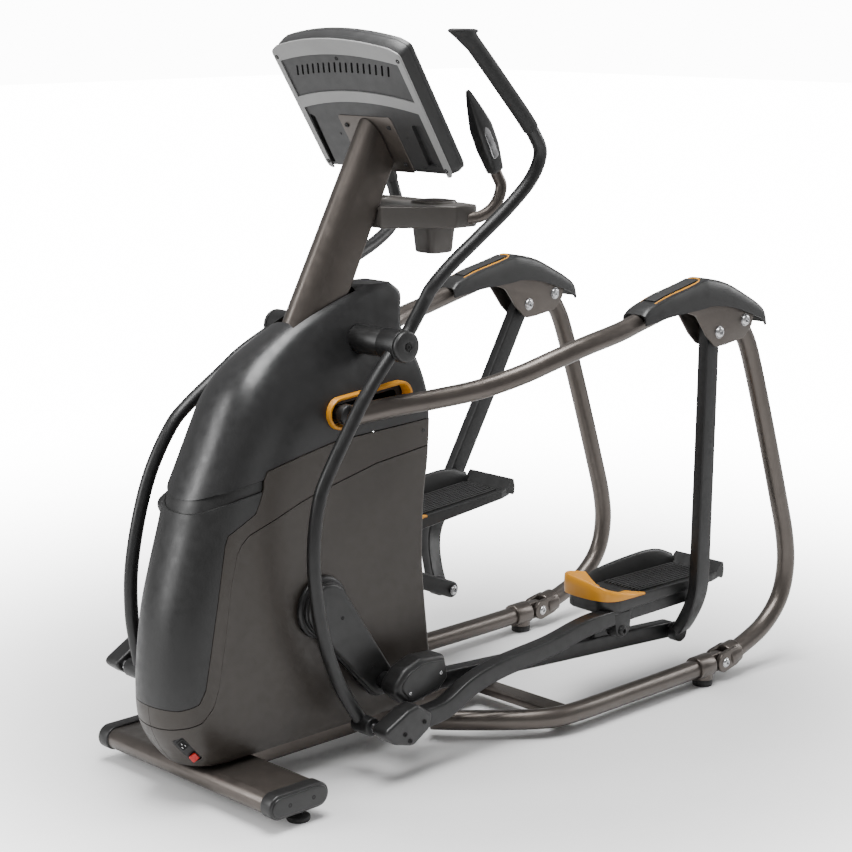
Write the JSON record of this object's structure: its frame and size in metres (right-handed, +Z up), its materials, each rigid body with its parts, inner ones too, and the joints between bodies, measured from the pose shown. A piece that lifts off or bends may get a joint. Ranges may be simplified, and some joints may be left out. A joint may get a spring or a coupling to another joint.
{
  "type": "elliptical trainer",
  "caption": "Elliptical trainer with an adjustable-incline suspended stride, swinging handlebars, bowed side rails on hoop legs and a console on a leaning mast.",
  "frame": {"origin": "on the floor at the centre of the footprint", "axes": "+Y to the rear of the machine, where the user steps on; +X to the user's left; +Z up"},
  "size_m": [0.738, 1.9248, 1.7136],
  "materials": {
    "bronze_paint": "metallic bronze-grey powder coat, satin",
    "black_paint": "fine-texture black powder coat, satin",
    "black_plastic": "moulded black plastic, fine grain",
    "shroud_plastic": "moulded charcoal plastic, satin",
    "panel_plastic": "moulded brown-grey plastic, satin",
    "yellow_plastic": "moulded orange-yellow plastic",
    "bright_steel": "bright zinc-plated and polished steel",
    "rubber": "black rubber",
    "console_plastic": "moulded dark grey plastic",
    "display_glass": "smooth dark display window",
    "red_plastic": "red translucent rocker"
  },
  "bodies": {
    "base": {"front_stabilizer": "bronze_paint", "spine_beam": "bronze_paint", "left_base_tube": "bronze_paint", "right_base_tube": "bronze_paint", "left_rear_foot": "rubber", "right_rear_foot": "rubber", "left_side_panel": "panel_plastic", "right_side_panel": "panel_plastic", "front_cover": "black_plastic", "power_inlet": "black_plastic", "upper_shroud": "shroud_plastic", "left_slot_ring": "yellow_plastic", "right_slot_ring": "yellow_plastic", "mast": "bronze_paint", "core_frame": "bronze_paint", "console_shell": "console_plastic", "console_display": "display_glass", "fixed_handlebar": "bronze_paint", "accessory_tray": "console_plastic", "drive_belt": "rubber", "incline_motor": "black_paint"},
    "crankset": {"crank_axle": "bright_steel", "drive_pulley": "black_plastic", "left_crank_arm": "black_paint", "right_crank_arm": "black_paint"},
    "flywheel_rotor": {"flywheel": "bright_steel"},
    "carriage": {"incline_carriage": "bright_steel"},
    "switch_rocker": {"power_switch": "red_plastic"},
    "left_foot_screw": {"left_levelling_foot": "rubber"},
    "left_hoop_frame": {"left_hoop": "bronze_paint"},
    "left_rail_frame": {"left_rail": "bronze_paint", "left_rail_bracket": "bronze_paint", "left_grip_cover": "black_plastic"},
    "left_swing_pivot": {"left_swing_bolt": "bright_steel"},
    "left_swing": {"left_swing_arm": "black_paint"},
    "left_link_pivot": {"left_link_bolt": "bright_steel"},
    "left_link": {"left_support_link": "black_paint", "left_link_cover": "black_plastic", "left_pedal_bolt": "bright_steel"},
    "left_pedal_lever": {"left_pedal_arm": "black_paint", "left_pedal": "black_plastic", "left_toe_cup": "yellow_plastic"},
    "left_hub_pivot": {"left_handle_hub": "black_paint"},
    "left_handle_lever": {"left_handlebar": "black_paint"},
    "right_foot_screw": {"right_levelling_foot": "rubber"},
    "right_hoop_frame": {"right_hoop": "bronze_paint"},
    "right_rail_frame": {"right_rail": "bronze_paint", "right_rail_bracket": "bronze_paint", "right_grip_cover": "black_plastic"},
    "right_swing_pivot": {"right_swing_bolt": "bright_steel"},
    "right_swing": {"right_swing_arm": "black_paint"},
    "right_link_pivot": {"right_link_bolt": "bright_steel"},
    "right_link": {"right_support_link": "black_paint", "right_link_cover": "black_plastic", "right_pedal_bolt": "bright_steel"},
    "right_pedal_lever": {"right_pedal_arm": "black_paint", "right_pedal": "black_plastic", "right_toe_cup": "yellow_plastic"},
    "right_hub_pivot": {"right_handle_hub": "black_paint"},
    "right_handle_lever": {"right_handlebar": "black_paint"}
  },
  "joints": [
    {"name": "stride_crank", "type": "hinge", "parent": "base", "child": "crankset", "pos_m": [0, -0.5525, 0.406], "axis": [1, 0, 0], "range_deg": [0, 180]},
    {"name": "flywheel_spin", "type": "hinge", "parent": "base", "child": "flywheel_rotor", "pos_m": [0, -0.3305, 0.34], "axis": [1, 0, 0], "range_deg": [0, 900]},
    {"name": "incline_slide", "type": "slide", "parent": "base", "child": "carriage", "axis": [0, 0.9972, 0.0747], "range_m": [0, 0.18]},
    {"name": "power_rocker", "type": "hinge", "parent": "base", "child": "switch_rocker", "pos_m": [0.07872, -0.89834, 0.12092], "axis": [0.3847, 0.6828, 0.6211], "range_deg": [-8, 8]},
    {"name": "left_foot_thread", "type": "hinge", "parent": "base", "child": "left_foot_screw", "pos_m": [0.288, -0.7745, 0], "axis": [0, 0, 1], "continuous": true},
    {"name": "left_hoop_hinge", "type": "hinge", "parent": "base", "child": "left_hoop_frame", "pos_m": [0, 0.6535, 0.052], "axis": [1, 0, 0], "range_deg": [-11.76, 0.2]},
    {"name": "left_rail_hinge", "type": "hinge", "parent": "left_hoop_frame", "child": "left_rail_frame", "pos_m": [0, 0.6825, 0.966], "axis": [1, 0, 0], "range_deg": [-0.2, 9.91]},
    {"name": "left_swing_shift", "type": "hinge", "parent": "left_rail_frame", "child": "left_swing_pivot", "pos_m": [0, 0.5775, 0.946], "axis": [1, 0, 0], "range_deg": [-11.22, 0.2]},
    {"name": "left_swing_hinge", "type": "hinge", "parent": "left_swing_pivot", "child": "left_swing", "pos_m": [0, 0.5775, 0.946], "axis": [1, 0, 0], "range_deg": [-29.7, 0.2]},
    {"name": "left_link_shift", "type": "hinge", "parent": "left_swing", "child": "left_link_pivot", "pos_m": [0, 0.5815, 0.129], "axis": [1, 0, 0], "range_deg": [-0.2, 13]},
    {"name": "left_link_hinge", "type": "hinge", "parent": "left_link_pivot", "child": "left_link", "pos_m": [0, 0.5815, 0.129], "axis": [1, 0, 0], "range_deg": [-0.2, 10.82]},
    {"name": "left_pedal_hinge", "type": "hinge", "parent": "left_link", "child": "left_pedal_lever", "pos_m": [0, 0.3135, 0.198], "axis": [1, 0, 0], "range_deg": [-0.2, 23.64]},
    {"name": "left_handle_shift", "type": "hinge", "parent": "base", "child": "left_hub_pivot", "pos_m": [0, -0.3865, 1.006], "axis": [1, 0, 0], "range_deg": [-0.2, 1.63]},
    {"name": "left_handle_hinge", "type": "hinge", "parent": "left_hub_pivot", "child": "left_handle_lever", "pos_m": [0, -0.3865, 1.006], "axis": [1, 0, 0], "range_deg": [-24.86, 0.2]},
    {"name": "right_foot_thread", "type": "hinge", "parent": "base", "child": "right_foot_screw", "pos_m": [-0.288, -0.7745, 0], "axis": [0, 0, 1], "continuous": true},
    {"name": "right_hoop_hinge", "type": "hinge", "parent": "base", "child": "right_hoop_frame", "pos_m": [0, 0.6535, 0.052], "axis": [1, 0, 0], "range_deg": [-11.76, 0.2]},
    {"name": "right_rail_hinge", "type": "hinge", "parent": "right_hoop_frame", "child": "right_rail_frame", "pos_m": [0, 0.6825, 0.966], "axis": [1, 0, 0], "range_deg": [-0.2, 9.91]},
    {"name": "right_swing_shift", "type": "hinge", "parent": "right_rail_frame", "child": "right_swing_pivot", "pos_m": [0, 0.5775, 0.946], "axis": [1, 0, 0], "range_deg": [-11.33, 0.2]},
    {"name": "right_swing_hinge", "type": "hinge", "parent": "right_swing_pivot", "child": "right_swing", "pos_m": [0, 0.5775, 0.946], "axis": [1, 0, 0], "range_deg": [-0.2, 29.7]},
    {"name": "right_link_shift", "type": "hinge", "parent": "right_swing", "child": "right_link_pivot", "pos_m": [0, 0.17868, 0.23294], "axis": [1, 0, 0], "range_deg": [-0.2, 18.63]},
    {"name": "right_link_hinge", "type": "hinge", "parent": "right_link_pivot", "child": "right_link", "pos_m": [0, 0.17868, 0.23294], "axis": [1, 0, 0], "range_deg": [-10.82, 0.2]},
    {"name": "right_pedal_hinge", "type": "hinge", "parent": "right_link", "child": "right_pedal_lever", "pos_m": [0, -0.05258, 0.38494], "axis": [1, 0, 0], "range_deg": [-23.64, 0.2]},
    {"name": "right_handle_shift", "type": "hinge", "parent": "base", "child": "right_hub_pivot", "pos_m": [0, -0.3865, 1.006], "axis": [1, 0, 0], "range_deg": [-0.2, 1.63]},
    {"name": "right_handle_hinge", "type": "hinge", "parent": "right_hub_pivot", "child": "right_handle_lever", "pos_m": [0, -0.3865, 1.006], "axis": [1, 0, 0], "range_deg": [-0.2, 24.86]}
  ],
  "couplings": [
    {"joint": "flywheel_spin", "follows": "stride_crank", "ratio": 5},
    {"joint": "left_hoop_hinge", "follows": "incline_slide", "rad_per_m": -1.1213},
    {"joint": "left_rail_hinge", "follows": "incline_slide", "rad_per_m": 0.94187},
    {"joint": "left_swing_shift", "follows": "incline_slide", "rad_per_m": -1.0689},
    {"joint": "left_swing_hinge", "follows": "stride_crank", "ratio": -0.16388},
    {"joint": "left_link_shift", "follows": "incline_slide", "rad_per_m": 1.2408},
    {"joint": "left_link_hinge", "follows": "stride_crank", "ratio": 0.059014},
    {"joint": "left_pedal_hinge", "follows": "stride_crank", "ratio": 0.13023},
    {"joint": "left_handle_shift", "follows": "incline_slide", "rad_per_m": 0.13829},
    {"joint": "left_handle_hinge", "follows": "stride_crank", "ratio": -0.13701},
    {"joint": "right_hoop_hinge", "follows": "incline_slide", "rad_per_m": -1.1213},
    {"joint": "right_rail_hinge", "follows": "incline_slide", "rad_per_m": 0.94187},
    {"joint": "right_swing_shift", "follows": "incline_slide", "rad_per_m": -1.0791},
    {"joint": "right_swing_hinge", "follows": "stride_crank", "ratio": 0.16388},
    {"joint": "right_link_shift", "follows": "incline_slide", "rad_per_m": 1.7875},
    {"joint": "right_link_hinge", "follows": "stride_crank", "ratio": -0.059014},
    {"joint": "right_pedal_hinge", "follows": "stride_crank", "ratio": -0.13023},
    {"joint": "right_handle_shift", "follows": "incline_slide", "rad_per_m": 0.13829},
    {"joint": "right_handle_hinge", "follows": "stride_crank", "ratio": 0.13701}
  ]
}
